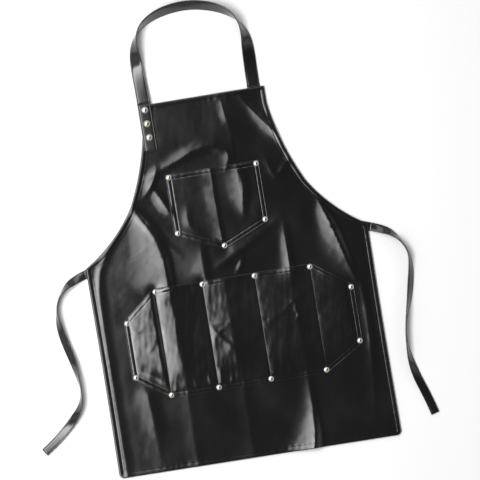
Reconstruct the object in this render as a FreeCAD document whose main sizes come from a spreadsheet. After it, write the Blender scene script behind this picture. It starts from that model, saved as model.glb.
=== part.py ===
"""Artist's smock apron: a leather panel lying on its back, with pockets, rivets, strap and ties.

Frame, in millimetres: +X to the right as seen from the front, +Y towards the neck, +Z up from the
surface the apron lies on. The origin is under the middle of the panel's box.
"""
import FreeCAD, Part
import math
import os
import re

import Sketcher

DIMENSIONS = {
    # leather and panel
    "leather": 1.0,             # one ply
    "hem_width": 12.0,          # turned edge, two more plies under the panel
    "half_waist": 267.0,
    "half_bib": 118.0,
    "half_length": 343.0,
    "armhole_top": 310.0,       # end of the bib's straight side
    "armhole_mid_x": 166.0,
    "armhole_mid_y": 156.0,
    "armhole_low_y": 57.0,      # waist corner
    "armhole_upper_radius": 500.0,
    "armhole_lower_radius": 300.0,
    "waist_share": 0.5,         # how far the armhole's corners move for each mm of inset
    "armhole_share_x": 0.9,
    "armhole_share_y": 0.45,
    # patch pockets: a sewn margin, a sloping wall and a raised front
    "margin": 12.0,
    "seam_margin": 6.0,
    "slope": 9.0,
    "lift": 6.5,                # clear height inside a pocket
    "reach": 12.0,              # how far a pocket's hollow runs out past its mouth
    "chest_x": -3.5,
    "chest_half": 89.0,
    "chest_top": 207.5,
    "chest_side": 91.5,
    "chest_tip": 52.5,
    "chest_side_share": 0.65,   # how far the pointed foot's corners move for each mm of inset
    "chest_tip_share": 1.09,
    "pouch_top": 0.0,
    "pouch_bottom": -207.5,
    "pouch_left": -213.5,
    "pouch_right": 224.0,
    "pouch_shoulder": -52.0,
    "pouch_hip": -162.5,
    "pouch_corner": 150.5,
    "pouch_skew": 2.5,          # the left foot corner stands this much further in
    "mouth_rise": 2.5,          # where the slanted mouth's line meets the outer seams
    "mouth_slant": 0.82,        # its fall for each mm outwards
    "hip_share": 0.53,
    "foot_share": 1.5,
    "seam_one": -146.7,
    "seam_two": -56.5,
    "seam_three": 42.4,
    "seam_four": 147.6,
    # double-cap rivets
    "rivet_inset": 6.0,
    "rivet_radius": 5.0,
    "rivet_dome": 2.2,
    "rivet_brim": 0.4,
    "rivet_hole": 2.0,
    "tube_radius": 1.9,
    "tube_bore": 1.4,
    "post_radius": 1.35,
    "back_cap": 1.5,            # thickness of the flat cap behind the panel
    "back_step": 0.5,           # the back cap is this much smaller all round
    "tube_depth": 2.6,
    "cap_roof": 0.8,            # underside of the cap, above its brim
    "post_height": 3.5,
    "left_shoulder_rivet": -56.2,
    "left_hip_rivet": -158.9,
    "right_shoulder_rivet": -55.6,
    "right_hip_rivet": -157.7,
    # press snaps
    "snap_x": -110.0,
    "snap_top_y": 333.5,
    "snap_pitch": 26.0,
    "snap_radius": 6.25,
    "snap_dome": 2.8,
    "snap_gap": 3.4,            # panel to strap tab, where the socket sits
    "stud_base": 5.6,
    "stud_neck": 1.7,
    "stud_head": 2.2,
    "socket_bore": 2.6,
    "snap_hole": 1.6,
    "snap_stem": 1.5,
    "snap_post": 1.2,
    "stud_bore": 1.25,
    "stud_plate": 0.8,          # heights on the stud, from its base
    "stud_neck_top": 1.7,
    "stud_head_low": 2.1,
    "stud_head_high": 2.6,
    "stud_top": 2.9,
    "stud_bore_top": 1.6,
    "snap_back": 5.0,           # radius of the flat cap behind a snap
    "snap_post_top": 2.4,
    "socket_rim": 5.8,
    "socket_depth": 2.4,
    "socket_roof": 0.4,
    "stem_depth": 2.3,
    # neck strap and ties, each of two plies
    "strap_width": 24.0,
    "tab_end": 255.0,
    "strap_start": 345.0,
    "strap_root_x": 98.3,
    "strap_lap": 22.0,
    "tie_width": 16.0,
    "tie_lap": 22.0,
    "tie_start_x": 271.0,
    "left_tie_y": 46.5,
    "right_tie_y": 50.0,
    "left_tie_drop": 17.2,      # degrees below the horizontal where a tie leaves the panel
    "right_tie_drop": 20.225,
    "root_notch": 1.0,          # room left round a sewn-in end
}

# Routes of the free bands: x, y, roll in degrees, and the extra height of a held end.
NECK_ROUTE = [
    (98.3, 345, 0, 0), (98.3, 375, 4, 0), (99.4, 410, 12, 0), (98.8, 450, 55, 0), (82, 483, 105, 0),
    (48, 505, 128, 0), (0, 516, 132, 0), (-50, 511, 128, 0), (-88, 494, 112, 0), (-107, 470, 80, 0),
    (-111.8, 440, 38, 0), (-111.4, 405, 8, 0.5), (-110, 372, 0, 3.4), (-110, 345, 0, 6.4),
]
LEFT_ROUTE = [
    (-271, 46.5, 0, 0), (-292, 40, 12, 0), (-313, 27, 70, 0), (-328, 8, 88, 0), (-334, -15, 85, 0),
    (-333, -45, 40, 0), (-326, -78, 22, 0), (-318, -110, 35, 0), (-314, -140, 70, 0), (-311, -168, 88, 0),
    (-317, -195, 60, 0), (-336, -219, 22, 0), (-357, -239, 8, 0), (-378, -256.5, 2, 0), (-398, -270, 0, 0),
]
RIGHT_ROUTE = [
    (271, 50, 0, 0), (290, 43, -12, 0), (308, 33, -45, 0), (323, 17, -82, 0), (335, -8, -86, 0),
    (335, -36, -55, 0), (329, -66, -45, 0), (322, -95, -55, 0), (313, -122, -78, 0), (306, -150, -88, 0),
    (304, -178, -80, 0), (306, -207, -48, 0), (312, -238, -20, 0), (323, -270, -6, 0), (331, -296, 0, 0),
    (336, -315, 0, 0),
]
ARC_SHARE = 0.45                # share of the shorter run that an arc takes

SEAMS = ["seam_one", "seam_two", "seam_three", "seam_four"]
HEM_TOP = "2 * leather"         # heights in plies, from the surface below
PANEL_TOP = "3 * leather"
POCKET_TOP = "5 * leather"
TAB_BACK = "3 * leather + snap_gap"
TWO_PLIES = "2 * leather"
THROUGH = "4 * leather"         # a cut of this depth goes right through

CHEST_RIVETS = [
    ("chest_x - chest_half + rivet_inset", "chest_top - rivet_inset"),
    ("chest_x + chest_half - rivet_inset", "chest_top - rivet_inset"),
    ("chest_x + chest_half - rivet_inset", "chest_side + chest_side_share * rivet_inset"),
    ("chest_x", "chest_tip + chest_tip_share * rivet_inset"),
    ("chest_x - chest_half + rivet_inset", "chest_side + chest_side_share * rivet_inset"),
]
WAIST_RIVETS = (
    [(seam, "pouch_top - rivet_inset") for seam in SEAMS]
    + [(seam, "pouch_bottom + rivet_inset") for seam in SEAMS]
    + [("pouch_left + rivet_inset", "left_shoulder_rivet"),
       ("pouch_left + rivet_inset", "left_hip_rivet"),
       ("pouch_right - rivet_inset", "right_shoulder_rivet"),
       ("pouch_right - rivet_inset", "right_hip_rivet")]
)
SNAPS = [("snap_x", f"snap_top_y - {step} * snap_pitch") for step in range(3)]

doc = FreeCAD.newDocument("apron")
sheet = doc.addObject("Spreadsheet::Sheet", "size")
for row, (alias, number) in enumerate(DIMENSIONS.items(), start=1):
    sheet.set(f"A{row}", alias)
    sheet.set(f"B{row}", str(number))
    sheet.setAlias(f"B{row}", alias)
doc.recompute()


def sized(text):
    """An expression in which every dimension is read from the sheet."""
    return re.sub(r"\b[a-z]\w*\b(?!\()", r"size.\g<0>", text)


def value(text):
    return float(sheet.evalExpression(sized(text)))


def bind(item, **places):
    """Bind properties to expressions, with a double underscore for a dot."""
    for name, text in places.items():
        item.setExpression(name.replace("__", "."), sized(text))


# ---- sketches and features ----

def new_body(name):
    body = doc.addObject("PartDesign::Body", name)
    body.Label = name
    return body


def new_sketch(body, name, height="0", plane="XY_Plane"):
    sketch = body.newObject("Sketcher::SketchObject", f"{body.Name}_{name}")
    support = [feature for feature in body.Origin.OriginFeatures if feature.Role == plane]
    sketch.AttachmentSupport = (support[0], [""])
    sketch.MapMode = "FlatFace"
    bind(sketch, AttachmentOffset__Base__z=height)
    return sketch


def arc_between(start, end, radius):
    """An arc of a loop drawn counter-clockwise; a negative radius hollows the shape."""
    chord = end - start
    side = FreeCAD.Vector(-chord.y, chord.x, 0).normalize() * math.copysign(1, radius)
    centre = (start + end) / 2 + side * math.sqrt(radius ** 2 - chord.Length ** 2 / 4)
    first, last = (start, end) if radius > 0 else (end, start)
    turn = [math.atan2(spot.y - centre.y, spot.x - centre.x) for spot in (first, last)]
    circle = Part.Circle(centre, FreeCAD.Vector(0, 0, 1), abs(radius))
    return Part.ArcOfCircle(circle, turn[0], turn[1])


def draw_loop(sketch, corners):
    """A closed loop through (x, y) corners; a third item is the radius of the edge that follows."""
    spots = [FreeCAD.Vector(value(corner[0]), value(corner[1]), 0) for corner in corners]
    first_edge = sketch.GeometryCount
    hollow = []
    for index, corner in enumerate(corners):
        start, end = spots[index], spots[(index + 1) % len(spots)]
        radius = value(corner[2]) if len(corner) > 2 else 0
        hollow.append(radius < 0)
        sketch.addGeometry(arc_between(start, end, radius) if radius else Part.LineSegment(start, end))
    constraints = []
    expressions = []
    for index, corner in enumerate(corners):
        edge = first_edge + index
        after = (index + 1) % len(corners)
        leaving = 1 if hollow[index] else 2
        arriving = 2 if hollow[after] else 1
        constraints.append(Sketcher.Constraint("Coincident", edge, leaving, first_edge + after, arriving))
        own_start = 2 if hollow[index] else 1
        for kind, text in (("DistanceX", corner[0]), ("DistanceY", corner[1])):
            expressions.append((len(constraints), text))
            constraints.append(Sketcher.Constraint(kind, -1, 1, edge, own_start, value(text)))
        if len(corner) > 2:
            text = corner[2].lstrip("-")
            expressions.append((len(constraints), text))
            constraints.append(Sketcher.Constraint("Radius", edge, value(text)))
    first = sketch.ConstraintCount
    sketch.addConstraint(constraints)
    for offset, text in expressions:
        sketch.setExpression(f"Constraints[{first + offset}]", sized(text))


def draw_circles(sketch, spots, radius):
    for x, y in spots:
        circle = Part.Circle(FreeCAD.Vector(value(x), value(y), 0), FreeCAD.Vector(0, 0, 1), value(radius))
        edge = sketch.addGeometry(circle)
        for kind, text in (("DistanceX", x), ("DistanceY", y)):
            item = sketch.addConstraint(Sketcher.Constraint(kind, -1, 1, edge, 3, value(text)))
            sketch.setExpression(f"Constraints[{item}]", sized(text))
        item = sketch.addConstraint(Sketcher.Constraint("Radius", edge, value(radius)))
        sketch.setExpression(f"Constraints[{item}]", sized(radius))


def pad(body, name, corners, height, base="0"):
    sketch = new_sketch(body, f"{name}_outline", base)
    draw_loop(sketch, corners)
    feature = body.newObject("PartDesign::Pad", f"{body.Name}_{name}")
    feature.Profile = sketch
    bind(feature, Length=height)
    doc.recompute()


def cut_upwards(body, name, sketch, depth):
    """Cut from the sketch's plane upwards; the volume must drop."""
    before = body.Shape.Volume
    feature = body.newObject("PartDesign::Pocket", f"{body.Name}_{name}")
    feature.Profile = sketch
    feature.Reversed = True
    bind(feature, Length=depth)
    doc.recompute()
    if body.Shape.Volume >= before:
        raise RuntimeError(f"{name} cut nothing from {body.Name}")


def loft(body, name, kind, low, high, low_height, high_height):
    sections = []
    for level, corners, height in (("low", low, low_height), ("high", high, high_height)):
        sketch = new_sketch(body, f"{name}_{level}", height)
        draw_loop(sketch, corners)
        sections.append(sketch)
    feature = body.newObject(f"PartDesign::{kind}Loft", f"{body.Name}_{name}")
    feature.Profile = sections[0]
    feature.Sections = [sections[1]]
    feature.Ruled = True
    doc.recompute()


def turned(name, corners):
    """A round piece, from its half section in (radius, height)."""
    body = new_body(name)
    sketch = new_sketch(body, "section", plane="XZ_Plane")
    draw_loop(sketch, corners)
    feature = body.newObject("PartDesign::Revolution", f"{name}_round")
    feature.Profile = sketch
    feature.ReferenceAxis = (sketch, ["V_Axis"])
    feature.Angle = 360
    doc.recompute()
    return body


# ---- panel ----

def panel_outline(inset):
    """The panel's outline, moved in by an expression; the armholes keep their radii."""
    middle_y = f"armhole_mid_y - armhole_share_y * {inset}"
    right = [
        (f"half_waist - {inset}", f"-half_length + {inset}"),
        (f"half_waist - {inset}", f"armhole_low_y - waist_share * {inset}", "-armhole_lower_radius"),
        (f"armhole_mid_x - armhole_share_x * {inset}", middle_y, "-armhole_upper_radius"),
        (f"half_bib - {inset}", "armhole_top"),
        (f"half_bib - {inset}", f"half_length - {inset}"),
    ]
    left = [
        (f"-half_bib + {inset}", f"half_length - {inset}"),
        (f"-half_bib + {inset}", "armhole_top", "-armhole_upper_radius"),
        (f"-armhole_mid_x + armhole_share_x * {inset}", middle_y, "-armhole_lower_radius"),
        (f"-half_waist + {inset}", f"armhole_low_y - waist_share * {inset}"),
        (f"-half_waist + {inset}", f"-half_length + {inset}"),
    ]
    return right + left


def notch(side, start_y, drop):
    """The turned edge is left out where a tie's sewn-in end lies, as a slanted four-sided gap."""
    along = f"(tie_lap + root_notch) * cos({drop})"
    down = f"(tie_lap + root_notch) * sin({drop})"
    half = f"(tie_width / 2 + root_notch) / cos({drop})"
    inner = f"{side} * (tie_start_x - {along})"
    outer = f"{side} * (tie_start_x + root_notch)"
    corners = [
        (inner, f"{start_y} + {down} - {half}"), (outer, f"{start_y} - {half}"),
        (outer, f"{start_y} + {half}"), (inner, f"{start_y} + {down} + {half}"),
    ]
    return corners if side > 0 else corners[::-1]


def make_panel():
    body = new_body("apron_panel")
    pad(body, "leather", panel_outline("0"), PANEL_TOP)
    recess = new_sketch(body, "recess_outline")
    draw_loop(recess, panel_outline("hem_width"))
    cut_upwards(body, "recess", recess, HEM_TOP)
    left_notch = new_sketch(body, "left_notch_outline")
    draw_loop(left_notch, notch(-1, "left_tie_y", "left_tie_drop"))
    cut_upwards(body, "left_notch", left_notch, HEM_TOP)
    right_notch = new_sketch(body, "right_notch_outline")
    draw_loop(right_notch, notch(1, "right_tie_y", "right_tie_drop"))
    cut_upwards(body, "right_notch", right_notch, HEM_TOP)
    strap_notch = new_sketch(body, "strap_notch_outline")
    side = "(strap_width / 2 + root_notch)"
    bottom = "strap_start - strap_lap - root_notch"
    draw_loop(strap_notch, [
        (f"strap_root_x - {side}", bottom), (f"strap_root_x + {side}", bottom),
        (f"strap_root_x + {side}", "strap_start"), (f"strap_root_x - {side}", "strap_start"),
    ])
    cut_upwards(body, "strap_notch", strap_notch, HEM_TOP)
    snap_seats = new_sketch(body, "snap_seat_outline")
    draw_circles(snap_seats, SNAPS, "snap_radius")
    cut_upwards(body, "snap_seats", snap_seats, HEM_TOP)
    rivet_holes = new_sketch(body, "rivet_hole_circles")
    draw_circles(rivet_holes, CHEST_RIVETS + WAIST_RIVETS, "rivet_hole")
    cut_upwards(body, "rivet_holes", rivet_holes, THROUGH)
    snap_holes = new_sketch(body, "snap_hole_circles")
    draw_circles(snap_holes, SNAPS, "snap_hole")
    cut_upwards(body, "snap_holes", snap_holes, THROUGH)
    return body


# ---- pockets ----

def chest_loop(inset, over):
    return [
        (f"chest_x + chest_half - {inset}", f"chest_top + {over}"),
        (f"chest_x - chest_half + {inset}", f"chest_top + {over}"),
        (f"chest_x - chest_half + {inset}", f"chest_side + chest_side_share * {inset}"),
        ("chest_x", f"chest_tip + chest_tip_share * {inset}"),
        (f"chest_x + chest_half - {inset}", f"chest_side + chest_side_share * {inset}"),
    ]


def middle_loop(left, right):
    def loop(rise, over):
        return [
            (f"{right} - seam_margin - {rise}", f"pouch_top + {over}"),
            (f"{left} + seam_margin + {rise}", f"pouch_top + {over}"),
            (f"{left} + seam_margin + {rise}", f"pouch_bottom + margin + {rise}"),
            (f"{right} - seam_margin - {rise}", f"pouch_bottom + margin + {rise}"),
        ]
    return loop


def outer_loop(seam, edge, side):
    """The compartments at the ends, with a slanted mouth and a slanted foot."""
    def loop(rise, over):
        near = f"(seam_margin + {rise})"
        far = f"(margin + {rise})"
        corners = [
            (f"{seam} + {side} * {near}", f"pouch_top + mouth_rise - mouth_slant * {near} + {over}"),
            (f"{edge} - {side} * {far}", f"pouch_shoulder + mouth_slant * {far} + {over}"),
            (f"{edge} - {side} * {far}", f"pouch_hip + hip_share * {far}"),
            (f"{seam} + {side} * {near}", f"pouch_bottom + foot_share * {far}"),
        ]
        return corners if side < 0 else corners[::-1]
    return loop


COMPARTMENTS = {
    "left": outer_loop("seam_one", "pouch_left", -1),
    "inner_left": middle_loop("seam_one", "seam_two"),
    "middle": middle_loop("seam_two", "seam_three"),
    "inner_right": middle_loop("seam_three", "seam_four"),
    "right": outer_loop("seam_four", "pouch_right", 1),
}


def make_chest_pocket():
    body = new_body("chest_pocket")
    bind(body, Placement__Base__z=PANEL_TOP)
    pad(body, "margin", chest_loop("0", "0"), TWO_PLIES)
    loft(body, "front", "Additive", chest_loop("margin", "0"), chest_loop("(margin + slope)", "0"),
         TWO_PLIES, "lift + leather")
    loft(body, "hollow", "Subtractive", chest_loop("margin", "reach"),
         chest_loop("(margin + slope)", "reach"), "0", "lift")
    holes = new_sketch(body, "hole_circles")
    draw_circles(holes, CHEST_RIVETS, "rivet_hole")
    cut_upwards(body, "holes", holes, THROUGH)
    return body


def make_waist_pocket():
    body = new_body("waist_pocket")
    bind(body, Placement__Base__z=PANEL_TOP)
    outline = [
        ("pouch_corner", "pouch_top"), ("-pouch_corner", "pouch_top"),
        ("pouch_left", "pouch_shoulder"), ("pouch_left", "pouch_hip"),
        ("-pouch_corner + pouch_skew", "pouch_bottom"), ("pouch_corner", "pouch_bottom"),
        ("pouch_right", "pouch_hip"), ("pouch_right", "pouch_shoulder"),
    ]
    pad(body, "margin", outline, TWO_PLIES)
    for name, loop in COMPARTMENTS.items():
        loft(body, f"{name}_front", "Additive", loop("0", "0"), loop("slope", "0"),
             TWO_PLIES, "lift + leather")
    for name, loop in COMPARTMENTS.items():
        loft(body, f"{name}_hollow", "Subtractive", loop("0", "reach"), loop("slope", "reach"),
             "0", "lift")
    holes = new_sketch(body, "hole_circles")
    draw_circles(holes, WAIST_RIVETS, "rivet_hole")
    cut_upwards(body, "holes", holes, THROUGH)
    return body


# ---- rivets and snaps: one master piece each, then a copy at every place ----

def dome(radius, rise):
    """The radius of a dome's arc that stands level at its top."""
    return f"({radius} ^ 2 + ({rise}) ^ 2) / (2 * ({rise}))"


RIVET_CAP = [
    ("tube_bore", "-tube_depth"), ("tube_radius", "-tube_depth"), ("tube_radius", "0"),
    ("rivet_radius", "0"), ("rivet_radius", "rivet_brim", dome("rivet_radius", "rivet_dome - rivet_brim")),
    ("0", "rivet_dome"), ("0", "cap_roof"), ("tube_bore", "cap_roof"),
]
RIVET_POST = [
    ("0", "-back_cap"), ("rivet_radius - back_step", "-back_cap"), ("rivet_radius - back_step", "0"),
    ("post_radius", "0"), ("post_radius", "post_height"), ("0", "post_height"),
]
SNAP_STUD = [
    ("stud_bore", "0"), ("stud_base", "0"), ("stud_base", "stud_plate"), ("stud_neck", "stud_plate"),
    ("stud_neck", "stud_neck_top"), ("stud_head", "stud_head_low"), ("stud_head", "stud_head_high"),
    ("0", "stud_top"), ("0", "stud_bore_top"), ("stud_bore", "stud_bore_top"),
]
SNAP_POST = [
    ("0", "-back_cap"), ("snap_back", "-back_cap"), ("snap_back", "0"),
    ("snap_post", "0"), ("snap_post", "snap_post_top"), ("0", "snap_post_top"),
]
SNAP_SOCKET = [
    ("socket_bore", "-socket_depth"), ("socket_rim", "-socket_depth"), ("socket_rim", "0"),
    ("snap_hole", "0"), ("snap_hole", "-socket_roof"), ("socket_bore", "-socket_roof"),
]
SNAP_CAP = [
    ("0", "-stem_depth"), ("snap_stem", "-stem_depth"), ("snap_stem", "0"),
    ("snap_radius", "0"), ("snap_radius", "rivet_brim", dome("snap_radius", "snap_dome - rivet_brim")),
    ("0", "snap_dome"),
]


def group(name, master, spots, height):
    """One node with a copy of the master piece at each spot."""
    copies = []
    for index, (x, y) in enumerate(spots):
        copy = doc.addObject("App::Link", f"{name}_{index + 1}")
        copy.LinkedObject = master
        bind(copy, Placement__Base__x=x, Placement__Base__y=y, Placement__Base__z=height)
        copies.append(copy)
    node = doc.addObject("Part::Compound", name)
    node.Label = name
    node.Links = copies
    return node


# ---- bands: neck strap and ties ----

def make_tab():
    body = new_body("neck_strap_tab")
    bind(body, Placement__Base__z=TAB_BACK)
    left, right = "snap_x - strap_width / 2", "snap_x + strap_width / 2"
    pad(body, "band", [(left, "tab_end"), (right, "tab_end"), (right, "strap_start"),
                       (left, "strap_start")], TWO_PLIES)
    holes = new_sketch(body, "hole_circles")
    draw_circles(holes, SNAPS, "snap_hole")
    cut_upwards(body, "holes", holes, THROUGH)
    return body


def make_root(name, width, lap, x, y, angle):
    """A band's sewn-in end: a flat strip whose outer end is at (x, y), facing the angle."""
    box = doc.addObject("Part::Box", name)
    box.Label = name
    bind(box, Length=lap, Width=width, Height=TWO_PLIES,
         Placement__Rotation__Angle=angle,
         Placement__Base__x=f"{x} - {lap} * cos({angle}) + {width} / 2 * sin({angle})",
         Placement__Base__y=f"{y} - {lap} * sin({angle}) - {width} / 2 * cos({angle})")
    return box


def stations(route):
    """(place, direction, roll, raised) along straight runs joined by tangent arcs, in plan."""
    points = [FreeCAD.Vector(x, y, 0) for x, y, roll, raised in route]
    leans = [FreeCAD.Vector(roll, raised, 0) for x, y, roll, raised in route]
    runs = [after - before for before, after in zip(points, points[1:])]
    places = [(points[0], runs[0], leans[0])]
    length = runs[0].Length
    radii = []
    for index in range(1, len(points) - 1):
        before, after = runs[index - 1], runs[index]
        cut = ARC_SHARE * min(before.Length, after.Length)
        half_turn = before.getAngle(after) / 2
        radius = cut / math.tan(half_turn)
        radii.append(round(radius))
        share_in, share_out = cut / before.Length, cut / after.Length
        start = points[index] - before * share_in
        end = points[index] + after * share_out
        inward = ((start + end) / 2 - points[index]).normalize()
        middle = points[index] + inward * radius * (1 / math.cos(half_turn) - 1)
        lean_in = leans[index] + (leans[index - 1] - leans[index]) * share_in
        lean_out = leans[index] + (leans[index + 1] - leans[index]) * share_out
        places += [(start, before, lean_in), (middle, end - start, leans[index]), (end, after, lean_out)]
        length += after.Length - 2 * cut + 2 * half_turn * radius
    places.append((points[-1], runs[-1], leans[-1]))
    return places, length, radii


def make_band(name, route, width_alias):
    """A flat band as a ruled loft of its section, which rolls about the route and rests on z = 0."""
    width, thickness = value(width_alias), value(TWO_PLIES)
    places, length, radii = stations(route)
    up = FreeCAD.Vector(0, 0, 1)
    sections = []
    for place, direction, lean in places:
        side = up.cross(direction).normalize()
        roll = math.radians(lean.x)
        wide = side * math.cos(roll) + up * math.sin(roll)
        face = up * math.cos(roll) - side * math.sin(roll)
        middle = place + up * (width / 2 * abs(math.sin(roll)) + thickness / 2 * abs(math.cos(roll)) + lean.y)
        corners = [middle + wide * (across * width / 2) + face * (through * thickness / 2)
                   for across, through in ((-1, -1), (1, -1), (1, 1), (-1, 1))]
        sections.append(Part.makePolygon(corners + corners[:1]))
    band = doc.addObject("Part::Feature", name)
    band.Label = name
    band.Shape = Part.makeLoft(sections, True, True)
    expected = width * thickness * length
    print(f"{name}: length {length:.0f}, volume/expected {band.Shape.Volume / expected:.3f}, radii {radii}")
    return band


# ---- the whole apron ----

nodes = [make_panel(), make_chest_pocket(), make_waist_pocket(), make_tab()]
cap = turned("rivet_cap_master", RIVET_CAP)
post = turned("rivet_post_master", RIVET_POST)
for name, spots in (("chest_rivet", CHEST_RIVETS), ("waist_rivet", WAIST_RIVETS)):
    nodes.append(group(f"{name}_caps", cap, spots, POCKET_TOP))
    nodes.append(group(f"{name}_posts", post, spots, HEM_TOP))
nodes.append(group("snap_caps", turned("snap_cap_master", SNAP_CAP), SNAPS,
                   f"{TAB_BACK} + {TWO_PLIES}"))
nodes.append(group("snap_sockets", turned("snap_socket_master", SNAP_SOCKET), SNAPS, TAB_BACK))
nodes.append(group("snap_studs", turned("snap_stud_master", SNAP_STUD), SNAPS, PANEL_TOP))
nodes.append(group("snap_posts", turned("snap_post_master", SNAP_POST), SNAPS, HEM_TOP))
nodes.append(make_root("neck_strap_root", "strap_width", "strap_lap", "strap_root_x", "strap_start", "90"))
nodes.append(make_root("waist_tie_left_root", "tie_width", "tie_lap", "-tie_start_x", "left_tie_y",
                       "180 + left_tie_drop"))
nodes.append(make_root("waist_tie_right_root", "tie_width", "tie_lap", "tie_start_x", "right_tie_y",
                       "-right_tie_drop"))
nodes.append(make_band("neck_strap", NECK_ROUTE, "strap_width"))
nodes.append(make_band("waist_tie_left", LEFT_ROUTE, "tie_width"))
nodes.append(make_band("waist_tie_right", RIGHT_ROUTE, "tie_width"))
doc.recompute()

for item in doc.Objects:
    if "Invalid" in item.State or "Error" in item.State:
        raise RuntimeError(f"{item.Name} failed: {item.State}")
os.makedirs("parts", exist_ok=True)
for node in nodes:
    if node.Shape.isNull() or not node.Shape.isValid():
        raise RuntimeError(f"{node.Label} has no valid shape")
    node.Shape.exportStep(f"parts/{node.Label}.step")
    box = node.Shape.BoundBox
    print(f"{node.Label}: {len(node.Shape.Solids)} solids, {node.Shape.Volume:.0f} mm3, "
          f"z {box.ZMin:.2f} to {box.ZMax:.2f}")
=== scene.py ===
import math

import bmesh
import bpy
import numpy as np
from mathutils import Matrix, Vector
from mathutils.bvhtree import BVHTree


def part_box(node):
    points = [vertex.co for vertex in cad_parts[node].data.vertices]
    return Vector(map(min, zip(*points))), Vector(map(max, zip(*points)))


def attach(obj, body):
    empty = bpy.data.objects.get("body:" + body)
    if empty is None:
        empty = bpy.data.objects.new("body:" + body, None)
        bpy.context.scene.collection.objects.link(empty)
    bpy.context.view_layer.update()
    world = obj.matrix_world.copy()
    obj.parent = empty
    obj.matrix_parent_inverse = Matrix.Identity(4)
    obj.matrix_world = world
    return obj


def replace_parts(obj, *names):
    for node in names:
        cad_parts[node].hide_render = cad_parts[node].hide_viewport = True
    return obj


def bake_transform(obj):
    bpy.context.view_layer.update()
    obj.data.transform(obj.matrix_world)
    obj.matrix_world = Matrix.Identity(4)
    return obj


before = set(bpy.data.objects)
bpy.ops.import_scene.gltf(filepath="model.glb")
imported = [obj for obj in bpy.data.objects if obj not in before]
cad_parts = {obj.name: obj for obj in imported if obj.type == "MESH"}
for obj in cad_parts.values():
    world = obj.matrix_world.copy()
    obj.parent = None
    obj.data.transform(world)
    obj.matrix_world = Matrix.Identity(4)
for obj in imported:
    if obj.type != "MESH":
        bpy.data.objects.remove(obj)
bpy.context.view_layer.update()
scene = bpy.context.scene
scene.view_settings.view_transform = "Standard"
mm = 0.001   # sizes below are in millimetres, meshes are in metres

# ---- camera ----

view = {"height": 5.0, "across": 0.90, "turn": -9.3, "centre": (0.0269, 0.0644)}

cameraData = bpy.data.cameras.new("viewCamera")
cameraData.sensor_width = 36
cameraData.lens = 36 * view["height"] / view["across"]
camera = bpy.data.objects.new("viewCamera", cameraData)
camera.location = (*view["centre"], view["height"])
camera.rotation_euler = (0, 0, math.radians(view["turn"]))
scene.collection.objects.link(camera)
scene.camera = camera


# ---- small helpers ----

def ease(low, high, amount):
    part = np.clip((amount - low) / (high - low), 0, 1)
    return part * part * (3 - 2 * part)


def addObject(name, data):
    item = bpy.data.objects.new(name, data)
    scene.collection.objects.link(item)
    return item


def makeMesh(name, places, faces, uvs=None):   # places in millimetres
    mesh = bpy.data.meshes.new(name)
    mesh.from_pydata((np.asarray(places) * mm).tolist(), [], faces)
    if uvs is not None:
        layer = mesh.uv_layers.new(name="along")
        layer.data.foreach_set("uv", np.asarray(uvs, np.float32).ravel())
    mesh.shade_smooth()
    return addObject(name, mesh)


def faceOut(item):
    shape = bmesh.new()
    shape.from_mesh(item.data)
    bmesh.ops.remove_doubles(shape, verts=shape.verts, dist=1e-6)
    bmesh.ops.recalc_face_normals(shape, faces=shape.faces)
    shape.to_mesh(item.data)
    shape.free()
    return item


# ---- shader groups ----

def newGroup(name, inputs, outputs):
    group = bpy.data.node_groups.new(name, "ShaderNodeTree")
    for label, kind, value in inputs:
        socket = group.interface.new_socket(label, in_out="INPUT", socket_type=kind)
        if value is not None:
            socket.default_value = value
    for label, kind in outputs:
        group.interface.new_socket(label, in_out="OUTPUT", socket_type=kind)
    start = group.nodes.new("NodeGroupInput")
    end = group.nodes.new("NodeGroupOutput")
    return group, start, end


def addNode(tree, kind, **settings):
    node = tree.nodes.new(kind)
    for key, value in settings.items():
        if key in node.inputs:
            node.inputs[key].default_value = value
        else:
            setattr(node, key, value)
    return node


def addRange(tree, low, high, least, most, **settings):
    limits = {"From Min": low, "From Max": high, "To Min": least, "To Max": most}
    return addNode(tree, "ShaderNodeMapRange", **limits, **settings)


def wire(tree, *joins):   # each join: a node, its output, the next node, its input
    for source, output, target, socket in joins:
        tree.links.new(source.outputs[output], target.inputs[socket])


def newMaterial(name, looks):
    material = bpy.data.materials.new(name)
    material.use_nodes = True
    tree = material.node_tree
    surface = tree.nodes["Principled BSDF"]
    for label, value in looks.items():
        surface.inputs[label].default_value = value
    return material, tree, surface


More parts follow.
